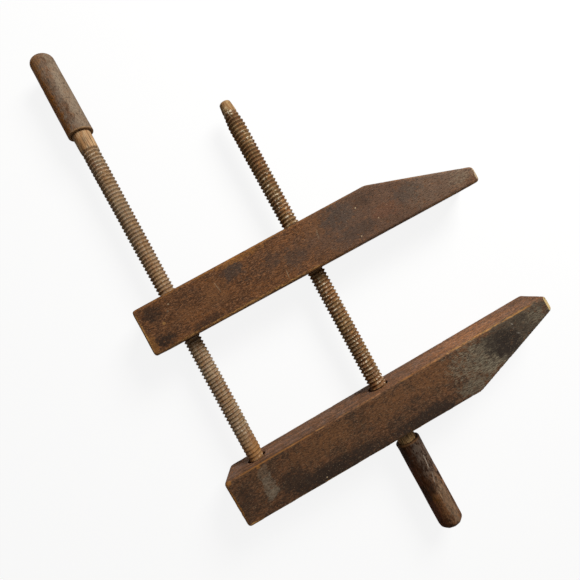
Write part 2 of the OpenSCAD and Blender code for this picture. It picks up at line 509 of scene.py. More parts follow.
@dataclass(frozen=True)
class ThreadedScrewWood:
    """Boxed hardwood: a turned stick with its thread cut by a die, dry and never oiled.

    The cut fibres give the eye a dull greyed tan in lengths of different tone, with a little dirt in the
    groove and the crests rubbed and nicked to pale wood. The root of the groove is lightened, partly by dust
    and partly as painted light against the shade in the groove.
    """

    name: str
    ground: str
    deep: str
    tone: str
    pale: str
    root_dust_and_light: str
    shank: str
    dirt: float
    nicks: float
    nose: float
    bearing: float
    pith: Point
    seed: float
    nose_mm: Span = (10, 15)
    bearing_mm: Span = (26, 58)
    year_mm: float = 1.8
    # cut fibres are dull and scatter what light they throw back
    rough: Span = (0.6, 0.85)
    relief_mm: float = 0.16
    specular: float = 0.08

    def material(self, shank_mm: float, tip_mm: float) -> Material:
        """Make the finish of a screw.

        Args:
            shank_mm: Length of its plain shank.
            tip_mm: Length of the whole screw from the rim of its handle.

        Returns:
            The material.
        """
        wood, seed = WoodSurface(self.name, GRAIN_ALONG_Y, self.ground), self.seed
        wood.lay(self.deep, wood.cloud(34, seed, (0.44, 0.58), most=0.8, detail=4))
        wood.lay(self.tone, wood.cloud(26, seed + 1, (0.48, 0.60), most=0.75, detail=4))
        # fibres of 0.1 mm are drawn 1.5 mm wide, so that they show in the render
        wood.lay(self.pale, wood.cloud(1.5, seed + 2, (0.42, 0.64), most=0.45, stretch=12))
        self.use_thread(wood, tip_mm)
        # the plain shank and nose, and the fibres that run through all of the stick
        full, gone = self.nose_mm
        # the shank's colour; the dark stick's is lightened as painted light under the jaw's shadow
        wood.lay(self.shank, wood.near("along_mm", shank_mm - 3, shank_mm, most=0.95))
        wood.lay(self.shank, wood.near("along_mm", tip_mm - full, tip_mm - gone, most=self.nose))
        wood.lay(self.deep, wood.cloud(1.2, seed + 4, (0.46, 0.64), most=0.6, stretch=16, detail=4))
        wood.lay(Tint.RED, wood.cloud(2.2, seed + 5, (0.50, 0.64), most=0.5, stretch=8))
        plain = wood.near("along_mm", shank_mm - 2, shank_mm + 1)
        wood.lay(Tint.RUST, plain, wood.cloud(6, seed + 15, (0.46, 0.60), most=0.5, stretch=3, detail=4))
        wood.lay(Tint.GRIME_AND_SHADE, plain, wood.cloud(1.4, seed + 7, (0.50, 0.62), most=0.55, stretch=14))
        # painted shade: a dark ring where the shank goes into the handle's mouth
        wood.lay(Tint.GRIME_AND_SHADE, wood.near("along_mm", -0.5, 1.0, most=0.6))
        cut_end = wood.near("along_mm", tip_mm - 0.3, tip_mm - 0.9)
        wood.lay(self.deep, cut_end, wood.rings(self.pith, self.year_mm, most=0.6))
        dull = wood.cloud(9, seed + 10, (0.3, 0.7))
        fibre = wood.cloud(0.8, seed + 12, (0.25, 0.75), stretch=8)
        return wood.close(dull, self.rough, fibre, self.relief_mm, self.specular)

    def use_thread(self, wood: WoodSurface, tip_mm: float) -> None:
        """Dirty the groove, rub the crests and the bearing near the tip, and nick the crests.

        Args:
            wood: The finish so far.
            tip_mm: Length of the whole screw from the rim of its handle.
        """
        seed, groove, crest = self.seed, wood.near("groove", 1.0, 0.5), wood.near("crest", 1.0, 0.7)
        # the root of the groove is lightened: dust in it, and painted light against its shade
        wood.lay(self.root_dust_and_light, wood.near("groove", 1.0, 0.45, most=0.75))
        dirt = wood.cloud(12, seed + 6, (0.46, 0.6), most=self.dirt, stretch=1.5, detail=4)
        wood.lay(Tint.GRIME_AND_SHADE, groove, dirt)
        wood.lay(self.pale, crest, wood.cloud(6, seed + 8, (0.40, 0.62), most=0.7, detail=4))
        full, gone = self.bearing_mm
        wood.lay(Tint.RUBBED, wood.near("along_mm", tip_mm - full, tip_mm - gone, most=self.bearing))
        lengths = wood.cloud(24, seed + 14, (0.47, 0.57), most=self.nicks, detail=2)
        nicks = wood.cloud(2.5, seed + 9, (0.55, 0.62), detail=1)
        wood.lay(Tint.CREAM, lengths, nicks, wood.near("crest", 0.6, 0.2))
        wood.lay(Tint.BARE, wood.near("chip", 0.3, 0.05, most=0.6))


@dataclass(frozen=True)
class PolishedHandleWood:
    """Shaved and turned hardwood, never lacquered, polished by palms.

    Skin oil gives the eye a dark brown with a broken sheen, sooty toward the rim, streaked by the grain and
    greyed where dust stuck. Marks paint part of the sheen as pale highlights and grey on the lit side, and on
    the dark handle shade on the side away from the lamp.
    """

    name: str
    ground: str
    deep: str
    dusty: str
    rim: str
    dust: float
    soot: float
    soot_mm: float
    mottle: float
    pith: Point
    seed: float
    marks: tuple[Mark, ...]
    soot_fade_mm: float = 12
    year_mm: float = 2.4
    # the sheen is broken and faint, because dust lies in the polish
    rough: Span = (0.42, 0.7)
    relief_mm: float = 0.3
    specular: float = 0.02

    def material(self) -> Material:
        """Make the finish of a handle.

        Returns:
            The material.
        """
        wood, seed = WoodSurface(self.name, GRAIN_ALONG_Y, self.ground), self.seed
        wood.lay(self.deep, wood.cloud(11, seed, (0.44, 0.60), most=0.6, stretch=1.6, detail=6))
        wood.lay(Tint.WARM, wood.cloud(5, seed + 1, (0.50, 0.62), most=0.7, stretch=1.5, detail=5))
        sooty = wood.near("along_mm", self.soot_mm - self.soot_fade_mm, self.soot_mm + self.soot_fade_mm)
        wood.lay(Tint.SOOT, sooty, wood.cloud(11, seed + 3, (0.24, 0.46), self.soot, stretch=1.5, detail=6))
        wood.lay(self.dusty, wood.cloud(9, seed + 4, (0.30, 0.62), most=self.dust, stretch=1.6, detail=6))
        wood.lay(self.deep, wood.cloud(2.6, seed + 2, (0.47, 0.58), most=self.mottle, stretch=1.8, detail=5))
        # specks of dust of 0.2 mm are drawn 1.1 mm wide, so that they show in the render
        wood.lay(self.dusty, wood.cloud(1.1, seed + 6, (0.52, 0.64), most=self.dust, stretch=1.5))
        wood.lay_marks(self.marks)
        # pores of 0.1 mm are drawn 0.7 mm wide, so that they show in the render
        wood.lay(Tint.GRIME_AND_SHADE, wood.cloud(0.7, seed + 8, (0.53, 0.65), most=0.6, stretch=4, detail=1))
        # the rounded end and the rim are worn; the dusty handle's rim is also lightened as painted light
        worn_end, cut_end = wood.near("end_mm", full=1.0, gone=11.0), wood.near("end_mm", full=0.4, gone=2.5)
        wood.lay(Tint.WARM, worn_end, wood.cloud(7, seed + 10, (0.42, 0.60), most=0.6, detail=4))
        wood.lay(self.deep, cut_end, wood.rings(self.pith, self.year_mm, most=0.55))
        rim = wood.near("along_mm", full=0.6, gone=2.2)
        wood.lay(self.rim, rim, wood.cloud(6, seed + 12, (0.30, 0.52), most=0.8))
        dull = wood.cloud(5, seed + 14, (0.3, 0.7), stretch=4)
        fibre = wood.cloud(1.2, seed + 16, (0.25, 0.75), stretch=6, detail=4)
        return wood.close(dull, self.rough, fibre, self.relief_mm, self.specular)


@dataclass
class Jaw:
    """One bevelled jaw: the solid's own shape with its arrises worn, bruised and nicked.

    Attributes:
        grain: Angle of the grain from +X.
        faces: Which way the clamping face looks.
        tip_cut_mm: How far down the tip the slanting cut reaches.
        lying: Least upward part of the normal of a lying face.
        standing: Most upward part of the normal of a standing face.
        end_on: Least part along X of the normal of the butt or the tip.
        blunt: Cosine above which two faces count as one side.
        tip_slope: Parts along X and up of the normal of the slanting cut.
    """

    node: str
    finish: OiledJawWood
    grain: float
    faces: Heading
    tip_cut_mm: float
    seed: float
    voxel_mm: float = 1.2
    weld_mm: float = 0.001
    arris_wear_mm: float = 0.55
    arris_band_mm: float = 1.5
    arris_patch_mm: float = 17
    arris_mean: float = 0.55
    arris_vary: float = 0.45
    corner_wear_mm: float = 0.8
    corner_band_mm: float = 2.2
    nick_mm: float = 1.6
    nick_band_mm: float = 2.2
    nick_patch_mm: float = 4.2
    nick_floor: float = 0.3
    sag_mm: float = 0.2
    sag_patch_mm: float = 26
    sag_mean: float = 0.5
    sag_stretch: Point = (0.35, 1, 1)
    least_flat_mm2: float = 500
    normal_digits: int = 3
    lying: float = 0.99
    standing: float = 0.01
    end_on: float = 0.9
    blunt: float = 0.7
    tip_slope: Span = (0.6, 0.8)
    cut_edge_mm: float = 0.25

    def flats(self, mesh: bpy.types.Mesh) -> Flats:
        """Find the jaw's main flat faces.

        Args:
            mesh: The solid's mesh.

        Returns:
            The outward normal and offset, in metres, of each large flat face.
        """
        area: dict[tuple[float, ...], float] = {}
        offset: dict[tuple[float, ...], float] = {}
        for poly in mesh.polygons:
            key = tuple(round(c, self.normal_digits) for c in poly.normal)
            area[key] = area.get(key, 0.0) + poly.area
            offset[key] = max(offset.get(key, -math.inf), poly.normal.dot(poly.center))
        least = self.least_flat_mm2 * MM * MM
        return [
            (np.array(key), offset[key])
            for key, size in area.items()
            if size > least and (abs(key[2]) > self.lying or abs(key[2]) < self.standing)
        ]

    def depths(self, points: np.ndarray, flats: Flats) -> np.ndarray:
        """Measure how far points lie under the flat faces.

        Faces that meet at a blunt angle count as one, so that the knee of the bevel doesn't wear like an
        arris.

        Args:
            points: Points in metres.
            flats: Normal and offset of each face.

        Returns:
            Depths in millimetres, one row for each side of the jaw and the least depth first.
        """
        sides: list[tuple[np.ndarray, np.ndarray]] = []
        for normal, offset in flats:
            depth = (offset - points @ normal) / MM
            same = next((k for k, side in enumerate(sides) if side[0] @ normal > self.blunt), None)
            if same is None:
                sides.append((normal, depth))
            else:
                sides[same] = (normal, np.minimum(sides[same][1], depth))
        return np.sort(np.array([depth for _, depth in sides]), axis=0)

    def blank(self) -> tuple[bpy.types.Mesh, Flats]:
        """Cover the solid with an even grid of small faces.

        Returns:
            The new mesh, and the flat faces of the solid.
        """
        mesh = frame["nodes"][self.node].data.copy()
        flats = self.flats(mesh)
        work = bmesh.new()
        work.from_mesh(mesh)
        bmesh.ops.remove_doubles(work, verts=work.verts, dist=self.weld_mm * MM)
        work.to_mesh(mesh)
        work.free()
        rough = bpy.data.objects.new(self.node + "_blank", mesh)
        bpy.context.collection.objects.link(rough)
        grid = rough.modifiers.new("grid", "REMESH")
        grid.mode = "VOXEL"
        grid.voxel_size = self.voxel_mm * MM
        whole = bpy.data.meshes.new_from_object(rough.evaluated_get(bpy.context.evaluated_depsgraph_get()))
        bpy.data.objects.remove(rough)
        bpy.data.meshes.remove(mesh)
        whole.name = self.node + "_worn"
        whole.materials.clear()
        return whole, flats

    def build(self) -> Object:
        """Build the worn jaw.

        Returns:
            The jaw, riding on its body.
        """
        mesh, flats = self.blank()
        points = np.empty(len(mesh.vertices) * 3)
        normals = np.empty(len(mesh.vertices) * 3)
        mesh.vertices.foreach_get("co", points)
        mesh.vertices.foreach_get("normal", normals)
        blank, normals = points.reshape(-1, 3), normals.reshape(-1, 3)
        depth = self.depths(blank, flats)
        points = blank + normals * self.wear(blank / MM, depth)[:, None] * MM
        points, planed = self.ease_tip(points, flats)
        mesh.vertices.foreach_set("co", points.ravel())
        mesh.polygons.foreach_set("use_smooth", np.ones(len(mesh.polygons), dtype=bool))
        mesh.update()
        jaw = bpy.data.objects.new(mesh.name, mesh)
        bpy.context.collection.objects.link(jaw)
        normal, offset = max(flats, key=lambda flat: flat[0][1] * self.faces.value)
        store(jaw, "edge_mm", depth[1])
        store(jaw, "face_mm", (offset - points @ normal) / MM)
        store(jaw, "cut", planed)
        store(jaw, "end_mm", self.under_ends(blank, flats))
        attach(jaw, self.node)
        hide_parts(self.node)
        return jaw

    def dress(self, jaw: Object) -> None:
        """Give the built jaw its finish."""
        jaw.data.materials.append(self.finish.material(self.grain))

    def under_ends(self, points: np.ndarray, flats: Flats) -> np.ndarray:
        """Measure in millimetres how far points lie under the butt or the tip, where the end grain shows."""
        ends = [flat for flat in flats if abs(flat[0][0]) > self.end_on]
        return np.min([(offset - points @ normal) / MM for normal, offset in ends], axis=0)

    def ease_tip(self, points: np.ndarray, flats: Flats) -> tuple[np.ndarray, np.ndarray]:
        """Take the upper edge off the jaw's tip with one slanting cut.

        Args:
            points: The jaw's points in metres.
            flats: Normal and offset of each flat face.

        Returns:
            The points, and 1 for each one that lies on the cut.
        """
        tip, reach = max(flats, key=lambda flat: flat[0][0])
        height = max(offset for normal, offset in flats if normal[2] > self.lying)
        out, up = self.tip_slope
        slope = tip * out + np.array([0, 0, up])
        over = points @ slope - (out * reach + up * (height - self.tip_cut_mm * MM))
        on_cut = over > -self.cut_edge_mm * MM
        return points - np.clip(over, 0, None)[:, None] * slope, on_cut.astype(float)

    def wear(self, points_mm: np.ndarray, depth: np.ndarray) -> np.ndarray:
        """Work out how far use has moved each point along its normal.

        Args:
            points_mm: The jaw's points.
            depth: Depths under the sides, in millimetres, the least one first.

        Returns:
            Moves in millimetres, mostly inward.
        """
        edge, corner = np.clip(depth[1], 0, None), np.clip(depth[2], 0, None)
        rub = self.arris_mean + self.arris_vary * noise_at(points_mm, self.arris_patch_mm, self.seed)
        nick = np.clip(noise_at(points_mm, self.nick_patch_mm, self.seed + 31) - self.nick_floor, 0, None)
        swell = noise_at(points_mm * self.sag_stretch, self.sag_patch_mm, self.seed + 57)
        return (
            self.sag_mm * (swell - self.sag_mean)
            - self.arris_wear_mm * rub * np.exp(-((edge / self.arris_band_mm) ** 2))
            - self.corner_wear_mm * np.exp(-((corner / self.corner_band_mm) ** 2))
            - self.nick_mm * nick * np.exp(-((edge / self.nick_band_mm) ** 2))
        )


@dataclass
class Screw:
    """One wooden screw: tenon, plain shank, right-hand thread and tapered nose, turned from one stick.

    Attributes:
        joint: Name of the joint that turns the screw.
        heading: Which way it points from its handle to its tip.
        rub_mm: How far use has rubbed the crests down.
        tip_rub_mm: How much further they are rubbed near the tip.
        last_groove: Share of the groove that is left where the thread runs out.
        crest_share: Share of the way down a flank that stays flat on the crest.
        flank_share: Share of the way down that the flank takes.
        steps: Where the rows of points lie within one pitch, from crest to crest.
        axis: Where the axis of the screw meets the rim of its handle, in metres.
        length_mm: Length from that rim to the tip.
    """

    node: str
    finish: ThreadedScrewWood
    joint: str
    heading: Heading
    shank_l_mm: float
    rub_mm: float
    tip_rub_mm: float
    seed: float
    tenon_l_mm: float = 45
    tenon_d_mm: float = 14
    mouth_l_mm: float = 3
    shank_d_mm: float = 20
    thread_d_mm: float = 19.4
    nose_l_mm: float = 28
    nose_d_mm: float = 12.7
    tip_ease_mm: float = 1.2
    plain_nose_mm: float = 13
    pitch_mm: float = 25.4 / 6
    groove_mm: float = 2.1
    last_groove: float = 0.35
    crest_share: float = 0.06
    flank_share: float = 0.9
    run_in_mm: float = 2.5
    run_out_mm: float = 9
    worn_tip_mm: float = 62
    rub_patch_mm: float = 34
    rub_mean: float = 0.5
    rub_most: float = 1.4
    chip_mm: float = 1.5
    chip_patch_mm: float = 3.1
    chip_floor: float = 0.28
    first_ring_mm: float = 1.5
    ring_gap_mm: float = 6
    last_ring_mm: float = 3
    least_gap_mm: float = 1
    nose_rings_mm: Span = (6.0, 2.5)
    sides: int = 44
    steps: tuple[float, ...] = (0.0, 0.04, 0.1, 0.28, 0.44, 0.5, 0.56, 0.72, 0.9, 0.96)
    axis: np.ndarray = field(init=False)
    length_mm: float = field(init=False)

    def __post_init__(self) -> None:
        """Read the rim, axis and length from the frame."""
        low, high = (np.array(corner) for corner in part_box(self.node))
        turn = next(j for j in frame["joints"] if j["name"] == self.joint)
        hidden = self.tenon_l_mm + self.mouth_l_mm
        self.axis = np.array(turn["pos_m"], dtype=float)
        self.axis[1] = low[1] + hidden * MM if self.heading is Heading.UP else high[1] - hidden * MM
        self.length_mm = (high[1] - low[1]) / MM - hidden

    def place(self, along_mm: np.ndarray, around: np.ndarray, radius_mm: np.ndarray) -> np.ndarray:
        """Turn distances along and round the screw into points.

        Args:
            along_mm: Distance from the handle's rim toward the tip.
            around: Right-handed angle about that direction.
            radius_mm: Distance from the axis.

        Returns:
            Points in metres, one in each row.
        """
        one, two = radius_mm * np.cos(around), radius_mm * np.sin(around)
        if self.heading is Heading.UP:
            return self.axis + np.stack([two, along_mm, one], axis=1) * MM
        return self.axis + np.stack([one, -along_mm, two], axis=1) * MM

    def stick(self, along_mm: np.ndarray) -> np.ndarray:
        """Give the radius of the turned stick before it is threaded.

        Args:
            along_mm: Distance from the rim toward the tip.

        Returns:
            Radius in millimetres.
        """
        nose = self.nose_d_mm / 2
        turned = {
            -self.mouth_l_mm: self.shank_d_mm / 2,
            self.shank_l_mm: self.thread_d_mm / 2,
            self.length_mm - self.nose_l_mm: self.thread_d_mm / 2,
            self.length_mm - self.tip_ease_mm: nose,
            self.length_mm: nose - self.tip_ease_mm,
        }
        return np.interp(along_mm, list(turned), list(turned.values()))

    def thread(self) -> tuple[np.ndarray, np.ndarray, np.ndarray, np.ndarray, np.ndarray]:
        """Cut the thread as rows of points that climb one pitch in each turn.

        Returns:
            Distance along, angle and radius of each point, its share of the groove, and how much is chipped
            off it.
        """
        first = self.shank_l_mm - self.run_in_mm
        last = self.length_mm - self.plain_nose_mm
        row = np.arange(int((last - first) / self.pitch_mm) * len(self.steps) + 1)
        turn, step = row // len(self.steps), np.array(self.steps)[row % len(self.steps)]
        angles = np.arange(self.sides) * FULL_TURN / self.sides
        along = (first + (turn + step)[:, None] * self.pitch_mm + angles / FULL_TURN * self.pitch_mm).ravel()
        around = np.tile(angles, len(row))
        flank = np.repeat(1 - np.abs(2 * step - 1), self.sides)
        stops = [first, first + self.run_in_mm, last - self.run_out_mm, last]
        full = np.interp(along, stops, [0.0, 1.0, 1.0, self.last_groove])
        groove = np.clip((flank - self.crest_share) / self.flank_share, 0, 1) * full
        stick = self.stick(along)
        spots = self.place(along, around, stick) / MM
        chipped = np.clip(noise_at(spots, self.chip_patch_mm, self.seed) - self.chip_floor, 0, None)
        chips = self.chip_mm * chipped * (1 - flank) * full
        worn = [last - self.worn_tip_mm, last - self.worn_tip_mm / 2]
        tired = np.interp(along, worn, [0.0, self.tip_rub_mm])
        uneven = self.rub_mean + noise_at(spots, self.rub_patch_mm, self.seed + 11)
        rub = (self.rub_mm * np.clip(uneven, 0, self.rub_most) + tired) * (1 - flank) * full
        return along, around, stick - (self.groove_mm - tired) * groove - chips - rub, groove, chips

    def rings(self) -> tuple[list[Span], list[Span]]:
        """List the plain rings of the turned stick.

        Returns:
            Distance along and radius of the rings below the thread, and of those above it.
        """
        tenon, end = self.tenon_d_mm / 2, -self.tenon_l_mm - self.mouth_l_mm
        low = [(end, tenon - self.tip_ease_mm), (end + self.tip_ease_mm, tenon), (-self.mouth_l_mm, tenon)]
        last = self.shank_l_mm - self.last_ring_mm
        spaced = np.arange(self.ring_gap_mm, last - self.least_gap_mm, self.ring_gap_mm)
        shank = np.array([-self.mouth_l_mm, 0.0, self.first_ring_mm, *spaced, last])
        low += list(zip(shank, self.stick(shank)))
        nose = self.length_mm - np.array([*self.nose_rings_mm, self.tip_ease_mm, self.tip_ease_mm / 2, 0.0])
        return low, list(zip(nose, self.stick(nose)))

    def build(self) -> Object:
        """Build the screw.

        Returns:
            The screw, riding on its body.
        """
        along, around, radius, groove, chips = self.thread()
        low, high = self.rings()
        angles = np.arange(self.sides) * FULL_TURN / self.sides
        rows = len(along) // self.sides - 1
        plain = np.array(low + high)
        poles = np.array([low[0][0], high[-1][0]])
        along = np.concatenate([along, np.repeat(plain[:, 0], self.sides), poles])
        around = np.concatenate([around, np.tile(angles, len(plain)), np.zeros(2)])
        radius = np.concatenate([radius, np.repeat(plain[:, 1], self.sides), np.zeros(2)])
        rest = np.zeros(len(along) - len(groove))
        points = self.place(along, around, radius)
        screw = mesh_object(self.node + "_turned", points, self.skin(rows, len(low), len(high)))
        store(screw, "groove", np.concatenate([groove, rest]))
        store(screw, "crest", np.concatenate([1 - groove, rest]))
        store(screw, "chip", np.concatenate([chips, rest]))
        store(screw, "along_mm", along)
        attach(screw, self.node)
        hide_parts(self.node)
        return screw

    def dress(self, screw: Object) -> None:
        """Give the built screw its finish."""
        screw.data.materials.append(self.finish.material(self.shank_l_mm, self.length_mm))

    def skin(self, rows: int, low_rings: int, high_rings: int) -> Faces:
        """Join the climbing rows and the plain rings into one closed skin.

        Args:
            rows: Number of steps up the climbing rows.
            low_rings: Number of rings below the thread.
            high_rings: Number of rings above it.

        Returns:
            Point numbers of each face.
        """
        sides, per_turn = self.sides, len(self.steps)
        base = (rows + 1) * sides
        pole = base + (low_rings + high_rings) * sides

        def at(j: int, i: int) -> int:
            """Number a point of the thread, where a full turn leads to the row one pitch up."""
            return j * sides + i if i < sides else (j + per_turn) * sides

        def ring(k: int, i: int) -> int:
            """Number a point of a plain ring."""
            return base + k * sides + i % sides

        faces: Faces = []
        for j in range(rows):
            last = sides if j + per_turn + 1 <= rows else sides - 1
            faces += [(at(j, i), at(j, i + 1), at(j + 1, i + 1), at(j + 1, i)) for i in range(last)]
        below, above, top, end = low_rings - 1, low_rings, low_rings + high_rings - 1, sides - 1
        for k in [*range(below), *range(above, top)]:
            faces += [(ring(k, i), ring(k, i + 1), ring(k + 1, i + 1), ring(k + 1, i)) for i in range(sides)]
        first_seam = [at(j, 0) for j in range(per_turn + 1)]
        last_seam = [at(rows - j, end) for j in range(per_turn + 1)]
        faces += [(ring(below, i), ring(below, i + 1), at(0, i + 1), at(0, i)) for i in range(end)]
        faces.append((ring(below, end), ring(below, 0), *first_seam, at(0, end)))
        faces += [(at(rows, i), at(rows, i + 1), ring(above, i + 1), ring(above, i)) for i in range(end)]
        faces.append((at(rows, 0), ring(above, 0), ring(above, end), *last_seam))
        faces += [(pole, ring(0, i + 1), ring(0, i)) for i in range(sides)]
        faces += [(ring(top, i), ring(top, i + 1), pole + 1) for i in range(sides)]
        return faces


@dataclass
class Handle:
    """One handle: bored for the tenon, with a mouth for the shank, shaved by hand and dented by use.

    Attributes:
        screw: The screw that it is glued on.
        facets: Number of flats that the knife left.
        facet_share: How much of their full depth the flats have kept.
        facet_drift: How far the flats wander, as a share of half their width.
        facet_start_mm: Distance from the rim at which they are full.
        rim_round: Share of the eased rim at which it is rounded.
        cap_step_mm: Width of the outer ring of the flat end.
        cap_core_mm: Radius of the inner ring there.
    """

    node: str
    finish: PolishedHandleWood
    screw: Screw
    rim_d_mm: float
    end_d_mm: float
    facets: int
    facet_share: float
    seed: float
    facet_drift: float = 0.5
    facet_patch_mm: float = 40
    facet_start_mm: float = 4
    round_mm: float = 7
    round_step_deg: float = 9
    rim_ease_mm: float = 0.8
    rim_round: float = 0.3
    mouth_d_mm: float = 20.8
    mouth_flare_mm: float = 0.2
    bore_d_mm: float = 14.2
    bore_spare_mm: float = 1.5
    first_ring_mm: float = 2.5
    ring_gap_mm: float = 2.2
    least_gap_mm: float = 1
    cap_step_mm: float = 3
    cap_core_mm: float = 2
    dent_mm: float = 1.0
    dent_patch_mm: float = 5
    dent_floor: float = 0.38
    swell_mm: float = 0.2
    swell_patch_mm: float = 21
    swell_mean: float = 0.6
    sides: int = 72

    def profile(self, length_mm: float) -> np.ndarray:
        """List the rings of the handle from the bottom of its bore, over the rim, to its rounded end.

        Args:
            length_mm: Length of the handle.

        Returns:
            Distance from the rim, radius, and the share of hand wear of each ring.
        """
        bore, mouth, rim, end = self.bore_d_mm / 2, self.mouth_d_mm / 2, self.rim_d_mm / 2, self.end_d_mm / 2
        floor, ease, soft = self.screw.mouth_l_mm, self.rim_ease_mm, self.rim_ease_mm * self.rim_round
        bottom = floor + self.screw.tenon_l_mm + self.bore_spare_mm
        centre, core = length_mm - self.round_mm, end - self.round_mm
        inside = [(bottom, bore), (floor, bore), (floor, mouth), (ease, mouth)]
        inside.append((0.0, mouth + self.mouth_flare_mm))
        outside = [(0.0, rim - ease), (soft, rim - soft), (ease, rim)]
        shaft = np.arange(self.first_ring_mm, centre - self.least_gap_mm, self.ring_gap_mm)
        outside += list(zip(shaft, np.interp(shaft, [0, centre], [rim, end])))
        for turn in np.radians(np.arange(0, 91, self.round_step_deg)):
            outside.append((centre + self.round_mm * math.sin(turn), core + self.round_mm * math.cos(turn)))
        cap = [(length_mm, core - self.cap_step_mm), (length_mm, self.cap_core_mm)]
        worn = ((inside, 0.0), (outside, 1.0), (cap, 0.0))
        return np.array([(along, radius, share) for rings, share in worn for along, radius in rings])

    def shave(self, spots_mm: np.ndarray, along: np.ndarray, around: np.ndarray) -> np.ndarray:
        """Work out the flats that a knife left along the handle.

        Args:
            spots_mm: Points on the round handle.
            along: Distance from the rim.
            around: Angle about the axis.

        Returns:
            Share of the radius that is left, a little over 1 on the ridges between the flats.
        """
        half = math.pi / self.facets
        drift = self.facet_drift * half * noise_at(spots_mm, self.facet_patch_mm, self.seed + 9)
        flat = math.cos(half) / np.cos((around + drift) % (2 * half) - half)
        # the ridges stand out of the round by a third of the depth of a flat
        level = 1 - (1 - math.cos(half)) / 3
        full = np.interp(along, [0.0, self.facet_start_mm], [0.0, 1.0])
        return 1 + self.facet_share * (flat - level) * full

    def build(self) -> Object:
        """Build the handle.

        Returns:
            The handle, riding on its screw's body.
        """
        low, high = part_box(self.node)
        length = (high[1] - low[1]) / MM
        profile = self.profile(length)
        sides, rings = self.sides, len(profile)
        along, radius, worn = (np.repeat(column, sides) for column in profile.T)
        around = np.tile(np.arange(sides) * FULL_TURN / sides, rings)
        spots = self.screw.place(-along, around, radius) / MM
        dent = np.clip(noise_at(spots, self.dent_patch_mm, self.seed) - self.dent_floor, 0, None)
        swell = noise_at(spots, self.swell_patch_mm, self.seed + 5) - self.swell_mean
        shaved = np.where(worn > 0, self.shave(spots, along, around), 1.0)
        radius = radius * shaved + worn * (self.swell_mm * swell - self.dent_mm * dent)
        along = np.append(along, [profile[0, 0], length])
        radius, around = np.append(radius, [0, 0]), np.append(around, [0, 0])
        points = self.screw.place(-along, around, radius)
        handle = mesh_object(self.node + "_turned", points, self.skin(rings))
        store(handle, "along_mm", along)
        store(handle, "end_mm", length - along)
        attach(handle, self.screw.node)
        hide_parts(self.node)
        return handle

    def dress(self, handle: Object) -> None:
        """Give the built handle its finish."""
        handle.data.materials.append(self.finish.material())

    def skin(self, rings: int) -> Faces:
        """Join the rings into one closed skin.

        Args:
            rings: Number of rings, with one more point at each end of the row.

        Returns:
            Point numbers of each face.
        """
        sides, top, pole = self.sides, rings - 1, rings * self.sides

        def at(k: int, i: int) -> int:
            """Number a point of a ring."""
            return k * sides + i % sides

        faces: Faces = []
        for k in range(top):
            faces += [(at(k, i), at(k + 1, i), at(k + 1, i + 1), at(k, i + 1)) for i in range(sides)]
        faces += [(pole, at(0, i), at(0, i + 1)) for i in range(sides)]
        faces += [(at(top, i), pole + 1, at(top, i + 1)) for i in range(sides)]
        return faces


